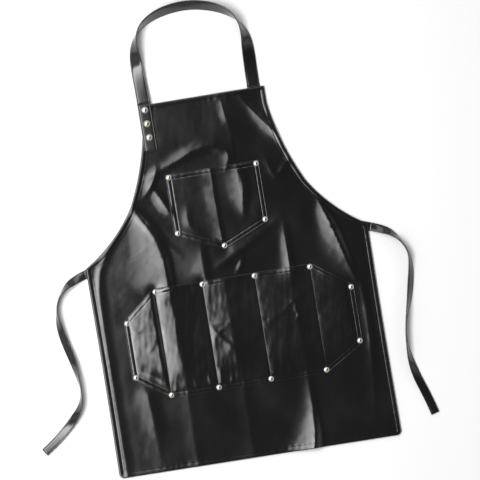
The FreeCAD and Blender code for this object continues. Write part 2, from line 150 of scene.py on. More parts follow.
def leatherGrain():
    # pebbled cells, fine pores and soft hand creases on one bump
    group, start, end = newGroup("leatherGrain", [
        ("Vector", "NodeSocketVector", None), ("Grain Size", "NodeSocketFloat", 900.0),
        ("Grain Depth", "NodeSocketFloat", 0.12), ("Crease Depth", "NodeSocketFloat", 0.25)],
        [("Normal", "NodeSocketVector"), ("Rough Add", "NodeSocketFloat")])
    cells = addNode(group, "ShaderNodeTexVoronoi", feature="SMOOTH_F1")
    pores = addNode(group, "ShaderNodeTexNoise", Detail=3.0)
    poreScale = addNode(group, "ShaderNodeMath", operation="MULTIPLY")
    poreScale.inputs[1].default_value = 2.3
    creases = addNode(group, "ShaderNodeTexNoise", Scale=26.0, Detail=4.0, Roughness=0.55, Distortion=0.8)
    patches = addNode(group, "ShaderNodeTexNoise", Scale=9.0, Detail=2.0)
    wire(group, (start, "Vector", cells, "Vector"), (start, "Grain Size", cells, "Scale"),
         (start, "Vector", pores, "Vector"), (start, "Grain Size", poreScale, 0),
         (poreScale, 0, pores, "Scale"), (start, "Vector", creases, "Vector"),
         (start, "Vector", patches, "Vector"))
    coarse = addNode(group, "ShaderNodeBump", Distance=0.004)
    wire(group, (start, "Crease Depth", coarse, "Strength"), (creases, "Fac", coarse, "Height"))
    middle = addNode(group, "ShaderNodeBump", Distance=0.0004)
    wire(group, (start, "Grain Depth", middle, "Strength"), (cells, "Distance", middle, "Height"),
         (coarse, "Normal", middle, "Normal"))
    fine = addNode(group, "ShaderNodeBump", Distance=0.0002)
    wire(group, (start, "Grain Depth", fine, "Strength"), (pores, "Fac", fine, "Height"),
         (middle, "Normal", fine, "Normal"), (fine, "Normal", end, "Normal"))
    spread = addRange(group, 0.3, 0.7, -0.05, 0.06)
    wire(group, (patches, "Fac", spread, "Value"), (spread, "Result", end, "Rough Add"))
    return group


grainGroup = leatherGrain()


def leather(name, roughness, grainSize, grainDepth, creaseDepth):
    material, tree, surface = newMaterial(name, {
        "Base Color": (0.0055, 0.0055, 0.006, 1), "Specular IOR Level": 0.5, "Coat Weight": 0.6,
        "Coat Roughness": 0.11})
    place = addNode(tree, "ShaderNodeTexCoord")
    values = {"Grain Size": grainSize, "Grain Depth": grainDepth, "Crease Depth": creaseDepth}
    grain = addNode(tree, "ShaderNodeGroup", node_tree=grainGroup, **values)
    wire(tree, (place, "Object", grain, "Vector"), (grain, "Normal", surface, "Normal"))
    total = addNode(tree, "ShaderNodeMath", operation="ADD")
    total.inputs[0].default_value = roughness
    wire(tree, (grain, "Rough Add", total, 1), (total, 0, surface, "Roughness"))
    return material


def nickel(name, roughness):
    material, tree, surface = newMaterial(name, {"Metallic": 1.0})
    place = addNode(tree, "ShaderNodeTexCoord")
    blotch = addNode(tree, "ShaderNodeTexNoise", Scale=700.0, Detail=3.0)
    tone = addNode(tree, "ShaderNodeValToRGB")
    tone.color_ramp.elements[0].color = (0.60, 0.56, 0.47, 1)
    tone.color_ramp.elements[0].position = 0.3
    tone.color_ramp.elements[1].color = (0.85, 0.81, 0.71, 1)
    tone.color_ramp.elements[1].position = 0.65
    rough = addRange(tree, 0, 1, roughness - 0.06, roughness + 0.08)
    scratch = addNode(tree, "ShaderNodeBump", Strength=0.08, Distance=0.0001)
    wire(tree, (place, "Object", blotch, "Vector"), (blotch, "Fac", tone, "Fac"),
         (tone, "Color", surface, "Base Color"), (blotch, "Fac", rough, "Value"),
         (rough, "Result", surface, "Roughness"), (blotch, "Fac", scratch, "Height"),
         (scratch, "Normal", surface, "Normal"))
    return material


def thread():
    material, tree, surface = newMaterial("waxedThread", {
        "Base Color": (0.004, 0.004, 0.0045, 1), "Roughness": 0.55, "Specular IOR Level": 0.15})
    place = addNode(tree, "ShaderNodeTexCoord")
    twist = addNode(tree, "ShaderNodeTexWave", Scale=900.0, Distortion=1.0)
    twist.bands_direction = "DIAGONAL"
    bump = addNode(tree, "ShaderNodeBump", Strength=0.4, Distance=0.0001)
    wire(tree, (place, "Object", twist, "Vector"), (twist, "Fac", bump, "Height"),
         (bump, "Normal", surface, "Normal"))
    return material


def backing():
    # brushed knit behind the coating
    material, tree, surface = newMaterial("knitBacking", {"Sheen Weight": 0.15, "Roughness": 0.9})
    place = addNode(tree, "ShaderNodeTexCoord")
    across = addNode(tree, "ShaderNodeTexWave", Scale=320.0, Distortion=0.6)
    along = addNode(tree, "ShaderNodeTexWave", Scale=260.0, Distortion=0.6)
    along.bands_direction = "Y"
    fuzz = addNode(tree, "ShaderNodeTexNoise", Scale=1400.0, Detail=2.0)
    weave = addNode(tree, "ShaderNodeMath", operation="MULTIPLY")
    total = addNode(tree, "ShaderNodeMath", operation="ADD")
    tone = addNode(tree, "ShaderNodeValToRGB")
    tone.color_ramp.elements[0].color = (0.018, 0.018, 0.02, 1)
    tone.color_ramp.elements[1].color = (0.07, 0.07, 0.072, 1)
    bump = addNode(tree, "ShaderNodeBump", Strength=0.5, Distance=0.0004)
    for node in (across, along, fuzz):
        wire(tree, (place, "Object", node, "Vector"))
    wire(tree, (across, "Fac", weave, 0), (along, "Fac", weave, 1), (weave, 0, total, 0),
         (fuzz, "Fac", total, 1), (total, 0, tone, "Fac"), (tone, "Color", surface, "Base Color"),
         (total, 0, bump, "Height"), (bump, "Normal", surface, "Normal"))
    return material


panelLeather = leather("panelLeather", 0.18, 850.0, 0.06, 0.05)
pocketLeather = leather("pocketLeather", 0.18, 850.0, 0.06, 0.05)
bandLeather = leather("bandLeather", 0.22, 900.0, 0.10, 0.05)
rivetNickel = nickel("rivetNickel", 0.18)
snapNickel = nickel("snapNickel", 0.20)
blackThread = thread()
knitBacking = backing()
print("materials ready")

# ---- bands: free neck strap and waist ties ----
# route points: x, y, roll in degrees, extra height where the band is held up

neckStrap = {
    "name": "neckStrap", "node": "neck_strap", "width": 24.0, "ply": 1.0, "length": 0.476,
    "route": [
        (98.3, 345, 0, 0), (98.3, 375, 4, 0), (99.4, 410, 12, 0), (98.8, 450, 55, 0), (82, 483, 105, 0),
        (48, 505, 128, 0), (0, 516, 132, 0), (-50, 511, 128, 0), (-88, 494, 112, 0), (-107, 470, 80, 0),
        (-111.8, 440, 38, 0), (-111.4, 405, 8, 0.5), (-110, 372, 0, 3.4), (-110, 345, 0, 6.4)],
}
leftTie = {
    "name": "waistTieLeft", "node": "waist_tie_left", "width": 16.0, "ply": 1.0, "length": 0.387,
    "route": [
        (-271, 46.5, 0, 0), (-292, 40, 12, 0), (-313, 27, 70, 0), (-328, 8, 88, 0), (-334, -15, 85, 0),
        (-333, -45, 40, 0), (-326, -78, 22, 0), (-318, -110, 35, 0), (-314, -140, 70, 0),
        (-311, -168, 88, 0),
        (-317, -195, 60, 0), (-336, -219, 22, 0), (-357, -239, 8, 0), (-378, -256.5, 2, 0),
        (-398, -270, 0, 0)],
}
rightTie = {
    "name": "waistTieRight", "node": "waist_tie_right", "width": 16.0, "ply": 1.0, "length": 0.405,
    "route": [
        (271, 50, 0, 0), (290, 43, -12, 0), (308, 33, -45, 0), (323, 17, -82, 0), (335, -8, -86, 0),
        (335, -36, -55, 0), (329, -66, -45, 0), (322, -95, -55, 0), (313, -122, -78, 0), (306, -150, -88, 0),
        (304, -178, -80, 0), (306, -207, -48, 0), (312, -238, -20, 0), (323, -270, -6, 0), (331, -296, 0, 0),
        (336, -315, 0, 0)],
}


def smoothLine(name, points, steps=14):
    curve = bpy.data.curves.new(name, "CURVE")
    curve.dimensions = "3D"
    spline = curve.splines.new("NURBS")
    spline.points.add(len(points) - 1)
    for point, place in zip(spline.points, points):
        point.co = (*place, 1)
    spline.order_u = 3
    spline.use_endpoint_u = True
    spline.resolution_u = steps
    item = addObject(name, curve)
    bpy.context.view_layer.update()
    mesh = bpy.data.meshes.new_from_object(item.evaluated_get(bpy.context.evaluated_depsgraph_get()))
    line = np.array([vertex.co[:] for vertex in mesh.vertices])
    bpy.data.objects.remove(item)
    bpy.data.curves.remove(curve)
    bpy.data.meshes.remove(mesh)
    return line


def bandFrames(band):
    # centre line and leaning come from splines with the same knots
    width, thick = band["width"], 2 * band["ply"]
    places = [(x * mm, y * mm, 0) for x, y, roll, raised in band["route"]]
    leans = [(roll * mm, raised * mm, 0) for x, y, roll, raised in band["route"]]
    line = smoothLine(band["name"] + "Line", places) / mm
    lean = smoothLine(band["name"] + "Lean", leans) / mm
    roll = np.radians(lean[:, 0])
    line[:, 2] = width / 2 * np.abs(np.sin(roll)) + thick / 2 * np.abs(np.cos(roll)) + lean[:, 1]
    heading = np.gradient(line, axis=0)
    heading /= np.linalg.norm(heading, axis=1)[:, None]
    side = np.cross([0, 0, 1], heading)
    side /= np.linalg.norm(side, axis=1)[:, None]
    up = np.cross(heading, side)
    wide = side * np.cos(roll)[:, None] + up * np.sin(roll)[:, None]
    face = up * np.cos(roll)[:, None] - side * np.sin(roll)[:, None]
    return line, wide, face


def bandSection(width, thick):
    # one side's profile: rounded edge, a dip under the stitches, a slight crown
    half, depth = width / 2, thick / 2
    top = [(half, 0.35 * depth), (half - 0.25, 0.8 * depth), (half - 0.8, depth), (half - 1.6, 0.93 * depth),
           (half - 2.1, 0.78 * depth), (half - 2.7, 0.95 * depth), (half - 4.5, 1.06 * depth),
           (half * 0.3, 1.1 * depth)]
    upper = top + [(-across, height) for across, height in top[::-1]]
    lower = [(-across, -height) for across, height in upper]
    return upper + lower


def sweepBand(name, line, wide, face, width, thick, material):
    section = bandSection(width, thick)
    count, rings = len(section), len(line)
    places = []
    for index in range(rings):
        for across, height in section:
            places.append(line[index] + wide[index] * across + face[index] * height)
    length = np.concatenate([[0], np.cumsum(np.linalg.norm(np.diff(line, axis=0), axis=1))])
    faces, uvs = [], []
    for index in range(rings - 1):
        for step in range(count):
            after = (step + 1) % count
            faces.append((index * count + step, index * count + after,
                          (index + 1) * count + after, (index + 1) * count + step))
            a, b = section[step][0], section[after][0]
            s, e = length[index], length[index + 1]
            uvs += [(a * mm, s * mm), (b * mm, s * mm), (b * mm, e * mm), (a * mm, e * mm)]
    for ring, order in ((0, range(count - 1, -1, -1)), (rings - 1, range(count))):
        faces.append(tuple(ring * count + step for step in order))
        uvs += [(section[step][0] * mm, length[ring] * mm) for step in order]
    item = makeMesh(name, places, faces, uvs)
    item.data.materials.append(material)
    return faceOut(item)


bandLines = {}
bandItems = {}
for band in (neckStrap, leftTie, rightTie):
    line, wide, face = bandFrames(band)
    bandLines[band["name"]] = (line, wide, face)
    bandItems[band["name"]] = sweepBand(band["name"], line, wide, face, band["width"], 2 * band["ply"],
                                        bandLeather)
    print(band["name"], "length", round(float(np.linalg.norm(np.diff(line, axis=0), axis=1).sum()), 1))

# ---- panel ----

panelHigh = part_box("apron_panel")[1]
panel = {
    "halfWaist": panelHigh.x / mm, "halfLength": panelHigh.y / mm, "halfBib": 118.0,
    "armholeTop": 310.0, "armholeMid": (166.0, 156.0), "armholeLow": 57.0,
    "upperRadius": 500.0, "lowerRadius": 300.0, "hem": 12.0,
    "cornerRadius": 9.0, "grid": 3.05, "stitchInset": 8.5, "fineMargin": 15.5,
    "hemHalf": 1.5, "recess": 2.0, "overRoots": 2.1, "thinnest": 0.3,   # heights of the two skins
}


def arcX(y, lower, upper, radius):
    # x on a hollow arc between two outline points
    (x0, y0), (x1, y1) = lower, upper
    chord = math.hypot(x1 - x0, y1 - y0)
    reach = math.sqrt(radius ** 2 - chord ** 2 / 4)
    centreX = (x0 + x1) / 2 + (y1 - y0) / chord * reach
    centreY = (y0 + y1) / 2 - (x1 - x0) / chord * reach
    return centreX - np.sqrt(radius ** 2 - (y - centreY) ** 2)


def halfWidth(y):
    waist = (panel["halfWaist"], panel["armholeLow"])
    middle = panel["armholeMid"]
    top = (panel["halfBib"], panel["armholeTop"])
    y = np.asarray(y, float)
    width = np.full(y.shape, panel["halfWaist"])
    low = (y > waist[1]) & (y <= middle[1])
    width[low] = arcX(y[low], waist, middle, panel["lowerRadius"])
    high = (y > middle[1]) & (y <= top[1])
    width[high] = arcX(y[high], middle, top, panel["upperRadius"])
    width[y > top[1]] = top[0]
    corner = panel["cornerRadius"]
    drop = np.clip(corner - (y + panel["halfLength"]), 0, corner)
    width -= corner - np.sqrt(corner ** 2 - drop ** 2)
    return width


slantTable = np.arange(-345, 345, 1.0)
slantRaw = np.gradient(halfWidth(slantTable), slantTable)
slantRaw[slantTable < -300] = 0
slantSmooth = np.convolve(np.sqrt(1 + slantRaw ** 2), np.ones(15) / 15, mode="same")
slantSmooth[:10] = slantSmooth[-10:] = 1
# distances in from an edge, closest where the stitches lie
edgeSteps = np.array([0, 0.4, 1.0, 2.0, 3.4, 5.0, 6.6, 7.7, 8.5, 9.3, 10.4, 11.6, 12.4, 14.0])


def slant(y):
    return np.interp(y, slantTable, slantSmooth)


# rivet centres of the chest pocket, then of the waist pocket
rivetSpots = [(-86.5, 201.5), (79.5, 201.5), (79.5, 95.4), (-3.5, 59.0), (-86.5, 95.4)]
rivetSpots += [(x, y) for x in (-146.7, -56.5, 42.4, 147.6) for y in (-6.0, -201.5)]
rivetSpots += [(-207.5, -56.2), (-207.5, -158.9), (218, -55.6), (218, -157.7)]
snapSpots = [(-110.0, 333.5 - 26.0 * step) for step in range(3)]


def pinned(x, y, spread=13.0):
    # 0 at a rivet or snap, 1 away from them
    free = np.ones(np.shape(x))
    for px, py in rivetSpots + snapSpots:
        free *= 1 - np.exp(-((x - px) ** 2 + (y - py) ** 2) / spread ** 2)
    return free


def rounded(path, rounds=2):
    # cuts a path's corners so that a fold bends instead of kinking
    points = np.array(path, float)
    for _ in range(rounds):
        before, after = points[:-1], points[1:]
        cut = np.stack([0.75 * before + 0.25 * after, 0.25 * before + 0.75 * after], axis=1)
        points = np.vstack([points[:1], cut.reshape(-1, points.shape[1]), points[-1:]])
    return points


def fold(x, y, path, sharp=1.8):
    # a ridge along path, each point (x, y, height, reach to its left, reach to its right)
    best = np.full(np.shape(x), 1e9)
    height = np.zeros(np.shape(x))
    reach = np.ones(np.shape(x))
    points = rounded(path)
    for (x0, y0, h0, left0, right0), (x1, y1, h1, left1, right1) in zip(points, points[1:]):
        dx, dy = x1 - x0, y1 - y0
        along = np.clip(((x - x0) * dx + (y - y0) * dy) / (dx * dx + dy * dy), 0, 1)
        offX, offY = x - x0 - along * dx, y - y0 - along * dy
        gap = np.hypot(offX, offY)
        nearer = gap < best
        onLeft = dx * offY - dy * offX > 0
        wide = np.where(onLeft, left0 + (left1 - left0) * along, right0 + (right1 - right0) * along)
        best = np.where(nearer, gap, best)
        height = np.where(nearer, h0 + (h1 - h0) * along, height)
        reach = np.where(nearer, wide, reach)
    near = np.clip(1 - np.sqrt(best ** 2 + 1.5) / reach, 0, 1)
    return height * near ** sharp


def ripple(x, y, scale, seed, octaves=3):
    # smooth random relief from a few turned waves
    random = np.random.default_rng(seed)
    total = np.zeros(np.shape(x))
    for octave in range(octaves):
        for _ in range(5):
            angle = random.uniform(0, math.pi)
            phase = random.uniform(0, 2 * math.pi)
            length = scale / 1.7 ** octave * random.uniform(0.8, 1.25)
            across = x * math.cos(angle) + y * math.sin(angle)
            total += np.sin(across * 2 * math.pi / length + phase) / 1.6 ** octave
    return total / 5


creases = {"places": (-116.0, -10.0, 112.0), "reach": 24.0, "height": 0.6}   # pressed in, from waist to foot
panelFolds = {   # each point is x, y, height, reach to the left and to the right of the way it runs
    "leftDrape": [(-164, 162, 0.4, 14, 14), (-142, 118, 3.4, 24, 44), (-118, 70, 5.4, 16, 76),
                  (-116, 0, 4.8, 14, 80), (-116, -14, 1.0, 14, 50)],
    "leftStreak": [(-166, 152, 0.3, 8, 12), (-140, 120, 1.5, 8, 13), (-112, 84, 1.5, 8, 13),
                   (-86, 52, 0.3, 8, 11)],
    "waistRoll": [(-46, 80, 0.3, 14, 56), (-46, 20, 2.8, 14, 66), (-46, -16, 0.5, 12, 60)],
    "leftSkirt": [(-190, -196, 1.4, 28, 32), (-186, -240, 1.2, 28, 34), (-184, -343, 0.3, 28, 34)],
    "rightCrease": [(113, 92, 0.3, 12, 14), (113, 40, 2.6, 12, 22), (113, -14, 3.4, 12, 32)],
    "footCone": [(113, -210, 0.6, 12, 22), (113, -268, 2.4, 13, 36), (111, -310, 6.0, 16, 54),
                 (104, -343, 8.4, 20, 64)],
    "rightDrape": [(182, 118, 0.6, 12, 16), (200, 72, 5.4, 14, 42), (216, 14, 5.8, 14, 50),
                   (230, -40, 1.4, 12, 20)],
    "rightEdge": [(238, -44, 1.0, 12, 18), (243, -110, 2.4, 11, 20), (236, -205, 1.2, 13, 20),
                  (226, -300, 0.4, 14, 20)],
    "leftEdge": [(-196, 112, 0.3, 12, 10), (-228, 74, 1.3, 14, 13), (-249, 32, 1.8, 16, 13),
                 (-253, -80, 1.1, 18, 12), (-252, -343, 0.9, 18, 12)],
    "armholeTuck": [(-106, 222, 0.4, 10, 16), (-112, 200, 2.6, 10, 28), (-134, 176, 0.4, 10, 14)],
    "pocketTuck": [(-120, 190, 0.4, 10, 14), (-100, 154, 2.8, 10, 24), (-88, 126, 0.4, 10, 16)],
    "bibRoll": [(-126, 204, 0.4, 14, 10), (-70, 228, 2.0, 24, 14), (-4, 251, 1.9, 24, 16),
                (18, 238, 0.8, 18, 12)],
    "mouthTuck": [(26, 240, 0.3, 12, 18), (33, 222, 1.5, 12, 24), (26, 206, 0.9, 12, 20)],
    "bibFall": [(62, 343, 0.8, 14, 16), (92, 298, 2.0, 14, 24), (124, 256, 3.8, 12, 28),
                (132, 230, 0.6, 10, 14)],
    "bibCrease": [(34, 334, 0.3, 9, 14), (36, 304, 1.2, 9, 16), (42, 274, 0.2, 9, 12)],
    "bibSwell": [(44, 343, 1.8, 50, 150), (44, 262, 1.3, 50, 150)],
    "sideTuck": [(98, 210, 0.3, 12, 14), (111, 164, 1.6, 12, 16), (140, 198, 0.8, 14, 12)],
    "underPocket": [(-58, 4, 0.4, 40, 18), (24, 44, 2.2, 44, 18), (104, 92, 0.6, 28, 14)],
    "waistNip": [(10, 4, 0.3, 8, 10), (21, 18, 1.8, 9, 13), (27, 34, 0.3, 8, 10)],
}


def relief(x, y):
    total = 0.25 * (ripple(x, y, 120, 3) + 1)
    for path in panelFolds.values():
        total = total + fold(x, y, path)
    for place in creases["places"]:
        pressed = np.clip(1 - np.abs(x - place + 1.5 * np.sin(y / 70)) / creases["reach"], 0, 1) ** 1.8
        total = total + creases["height"] * pressed * ease(-60, -150, y)
    bumps = 0.13 * (ripple(x, y, 38, 5) + 1) + 0.05 * (ripple(x, y * 0.3, 22, 9) + 1)
    return (total + bumps * (0.35 + 0.65 * ease(0.6, 3.0, total))) * pinned(x, y)


def hemProfile(gap, along):
    # the turned edge: rounded lip, soft swell, a dip on the stitches with small puckers
    lip = 1.5 * np.sqrt(np.clip(1 - (1 - np.clip(gap, 0, 1.5) / 1.5) ** 2, 0, 1))
    swell = 0.75 * ease(0, 1.5, gap) * (1 - ease(1.5, 14, gap))
    dip = -0.2 * np.exp(-((gap - panel["stitchInset"]) / 1.1) ** 2)
    pucker = 0.12 * np.sin(along / 2.1 + 1.7 * np.sin(along / 13)) * np.exp(-((gap - 8.5) / 5) ** 2)
    pucker *= 0.5 + 0.5 * np.sin(along / 31)
    return lip, swell + dip + pucker * ease(0, 3, gap)


def panelGrid():
    length, spacing, margin = panel["halfLength"], panel["grid"], panel["fineMargin"]
    inner = np.linspace(-length + margin, length - margin, int(2 * (length - margin) / spacing))
    inner = np.sort(np.append(inner[np.abs(inner - panel["armholeLow"]) > 1.2], panel["armholeLow"]))
    rows = np.concatenate([-length + edgeSteps, inner, (length - edgeSteps)[::-1]])
    middle = np.linspace(-1, 1, int(2 * (panel["halfWaist"] - margin) / spacing))
    y = np.repeat(rows[:, None], len(middle) + 2 * len(edgeSteps), axis=1)
    wide, tilt = halfWidth(y), slant(y)
    core = wide - margin * tilt
    left = -wide[:, :len(edgeSteps)] + edgeSteps * tilt[:, :len(edgeSteps)]
    right = (wide[:, :len(edgeSteps)] - edgeSteps * tilt[:, :len(edgeSteps)])[:, ::-1]
    x = np.concatenate([left, core[:, :len(middle)] * middle, right], axis=1)
    side = (wide - np.abs(x)) / tilt
    gap = np.minimum(side, np.minimum(length - y, length + y))
    along = np.where(side <= np.minimum(length - y, length + y), y * tilt, x)
    return x, y, np.clip(gap, 0, None), along


def settle(x, y):
    # the cut edge isn't perfectly square: the hem runs down a little to the right
    skew = -1.6 * (x / panel["halfWaist"]) * ease(-100, -343, y)
    sway = 0.8 * np.sin(y / 90) * (np.abs(x) / panel["halfWaist"])
    return x + sway * np.sign(x), y + skew


def closedSheet(name, x, y, upper, lower, material):
    # two skins on one grid, joined along the border
    rows, columns = x.shape
    top = np.stack([x, y, upper], axis=-1).reshape(-1, 3)
    bottom = np.stack([x, y, lower], axis=-1).reshape(-1, 3)
    size = rows * columns
    faces = []
    for row in range(rows - 1):
        for column in range(columns - 1):
            a = row * columns + column
            b, c, d = a + 1, a + columns + 1, a + columns
            faces.append((a, b, c, d))
            faces.append((a + size, d + size, c + size, b + size))
    border = list(range(columns))
    border += [row * columns + columns - 1 for row in range(1, rows)]
    border += [(rows - 1) * columns + column for column in range(columns - 2, -1, -1)]
    border += [row * columns for row in range(rows - 2, 0, -1)]
    for a, b in zip(border, border[1:] + border[:1]):
        faces.append((a, a + size, b + size, b))
    item = makeMesh(name, np.concatenate([top, bottom]), faces)
    item.data.materials.append(material)
    return faceOut(item)


def rootRoom(x, y):
    # 1 over the sewn-in ends and the snaps' back caps, which show from behind
    room = (1 - ease(12.5, 14, np.abs(x - neckStrap["route"][0][0]))) * ease(321, 322.5, y)
    for px, py in snapSpots:
        room = np.maximum(room, 1 - ease(5.8, 6.8, np.hypot(x - px, y - py)))
    for tie in (leftTie, rightTie):
        (x0, y0), (x1, y1) = tie["route"][0][:2], tie["route"][1][:2]
        run = math.hypot(x1 - x0, y1 - y0)
        along = ((x - x0) * (x1 - x0) + (y - y0) * (y1 - y0)) / run
        across = np.abs((x - x0) * (y1 - y0) - (y - y0) * (x1 - x0)) / run
        room = np.maximum(room, (1 - ease(8.5, 10, across)) * ease(-24.5, -23, along))
    return room


def makePanel():
    x, y, gap, along = panelGrid()
    lip, trim = hemProfile(gap, along)
    base = relief(x, y)
    upper = base + panel["hemHalf"] + lip + trim
    turned = 1 - ease(panel["hem"], panel["hem"] + 0.6, gap)
    lower = base + (panel["hemHalf"] - lip) * turned + (1 - turned) * panel["recess"]
    lower = lower + np.clip(panel["overRoots"] - lower, 0, None) * rootRoom(x, y)
    upper = np.maximum(upper, lower + panel["thinnest"])
    x, y = settle(x, y)
    item = closedSheet("apronPanel", x, y, upper, lower, panelLeather)
    item.data.materials.append(knitBacking)
    normals = np.zeros(len(item.data.polygons) * 3)
    item.data.polygons.foreach_get("normal", normals)
    centres = np.zeros(len(item.data.polygons) * 3)
    item.data.polygons.foreach_get("center", centres)
    centres = centres.reshape(-1, 3) / mm
    depth = np.minimum((halfWidth(centres[:, 1]) - np.abs(centres[:, 0])) / slant(centres[:, 1]),
                       panel["halfLength"] - np.abs(centres[:, 1]))
    knit = (normals.reshape(-1, 3)[:, 2] < -0.5) & (depth > panel["hem"] + 0.8)
    item.data.polygons.foreach_set("material_index", knit.astype(np.int32))
    return item


apronPanel = makePanel()
print("panel", len(apronPanel.data.polygons))

# ---- pockets ----

def cadEdges(node):   # left, foot, right and top in millimetres
    low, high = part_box(node)
    return [round(side / mm, 2) for side in (low.x, low.y, high.x, high.y)]


seamInsets = (2.4, 9.5)   # the two rows of stitches round a pocket
mouthInsets = (2.4, 9.0)
mouthSeamShort = 3.0   # how far the mouth's rows stop from the sides
pocketLay = {"face": 4.0, "back": 3.05, "ply": 1.3, "sewn": 10.5}   # heights, and the sewn-down margin
left, foot, right, top = cadEdges("chest_pocket")
chestPocket = {
    "centre": (left + right) / 2, "half": (right - left) / 2, "top": top, "side": 91.5, "tip": foot,
    "grid": 2.2,
}
left, foot, right, top = cadEdges("waist_pocket")
waistPocket = {
    "left": left, "right": right, "top": top, "bottom": foot, "shoulder": -52.0, "hip": -162.5,
    "corner": 150.5, "seams": (-146.7, -56.5, 42.4, 147.6), "grid": 2.4,
    "ridges": (-118.5, -13.0, 110.5), "crossCrease": -84.0, "foldShare": 0.6,
}
pocketSteps = np.array([0, 0.35, 0.9, 1.7, 2.4, 3.1, 4.4, 6.0, 7.6, 8.8, 9.5, 10.2, 11.4, 13.0])


fineMargin = 14.5   # the finely stepped border of a pocket


def steppedAxis(low, high, spacing, stops=()):
    inner = np.linspace(low + fineMargin, high - fineMargin, int((high - low - 2 * fineMargin) / spacing))
    for stop in stops:
        near = stop + np.array([-3.2, -1.8, -0.9, -0.3, 0.3, 0.9, 1.8, 3.2])
        inner = np.sort(np.append(inner[np.abs(inner - stop) > 4.2], near))
    return np.concatenate([low + pocketSteps, inner, (high - pocketSteps)[::-1]])


def patchGrid(columns, low, high, spacing):
    # vertical columns between a low and a high edge, with fine rows at both
    tall = (high - low).max()
    inner = np.linspace(0, 1, int((tall - 2 * fineMargin) / spacing))
    depth = high - low
    steps = np.minimum(pocketSteps[None, :], depth[:, None] * 0.4 * pocketSteps[None, :] / pocketSteps[-1])
    start, end = low[:, None] + steps, high[:, None] - steps[:, ::-1]
    core = (low + steps[:, -1] + 1)[:, None] + (depth - 2 * steps[:, -1] - 2)[:, None] * inner[None, :]
    y = np.concatenate([start, core, end], axis=1).T
    x = np.repeat(columns[None, :], y.shape[0], axis=0)
    return x, y


def seamTrim(gap, along, lines):
    # margins between stitch lines stand up as small rolls
    total = np.zeros(np.shape(gap))
    for inset in lines:
        total -= 0.32 * np.exp(-((gap - inset) / 0.8) ** 2)
    total += 0.05 * np.sin(along / 1.9 + 2 * np.sin(along / 17)) * np.exp(-((gap - 6) / 5) ** 2)
    return total * ease(0.2, 1.2, gap)


chestFolds = [   # points as in panelFolds
    [(-6, 214, 1.5, 9, 34), (-7, 140, 1.7, 9, 38), (-5, 62, 1.5, 9, 26)],
    [(42, 212, 0.5, 14, 26), (52, 172, 4.2, 16, 40), (46, 136, 3.8, 15, 34), (42, 108, 0.4, 12, 20)],
    [(-60, 142, 0.3, 14, 16), (-64, 118, 1.1, 14, 18), (-58, 98, 0.3, 14, 14)],
    [(62, 114, 0.4, 12, 14), (84, 98, 1.3, 8, 16)],
]


def makeChestPocket():
    cx, half = chestPocket["centre"], chestPocket["half"]
    columns = steppedAxis(cx - half, cx + half, chestPocket["grid"], stops=(cx - 4,))
    foot = (chestPocket["side"] - chestPocket["tip"]) / half
    low = chestPocket["tip"] + np.abs(columns - cx) * foot
    high = np.full(columns.shape, chestPocket["top"])
    x, y = patchGrid(columns, low, high, chestPocket["grid"])
    cosine = 1 / math.hypot(1, foot)
    sides = half - np.abs(x - cx)
    feet = (y - chestPocket["tip"] - np.abs(x - cx) * foot) * cosine
    mouth = chestPocket["top"] - y
    gap = np.minimum(sides, feet)
    edge = np.minimum(gap, mouth)
    along = np.where(feet < sides, x, y)
    lip = np.sqrt(np.clip(1 - (1 - np.clip(edge, 0, 1.0)) ** 2, 0, 1))
    inside = ease(pocketLay["sewn"], 64, gap)
    bulge = 0.35 * inside
    for path in chestFolds:
        bulge += fold(x, y, path) * ease(9, 20, gap)
    bulge += 0.2 * (ripple(x, y, 60, 8) + 0.6) * inside
    trim = seamTrim(gap, along, seamInsets) + seamTrim(mouth, x, seamInsets) * ease(2, 6, gap)
    base = relief(x, y)
    upper = base + pocketLay["face"] + lip + bulge + trim
    back = base + pocketLay["back"]
    opened = back + (upper - back - pocketLay["ply"]) * ease(pocketLay["sewn"], 13, gap)
    lower = np.where(gap < pocketLay["sewn"], back, opened)
    lower = lower + (1 - lip) * (upper - lower) * 0.5 * (mouth < 1.0)
    return closedSheet("chestPocket", x, y, upper, lower, pocketLeather)


def waistEdges(x):
    w = waistPocket
    high = np.interp(x, [w["left"], -w["corner"], w["corner"] + 2, w["right"]],
                     [w["shoulder"], w["top"], w["top"], w["shoulder"]])
    low = np.interp(x, [w["left"], -w["corner"] + 2.5, w["corner"], w["right"]],
                    [w["hip"], w["bottom"], w["bottom"], w["hip"]])
    return low, high


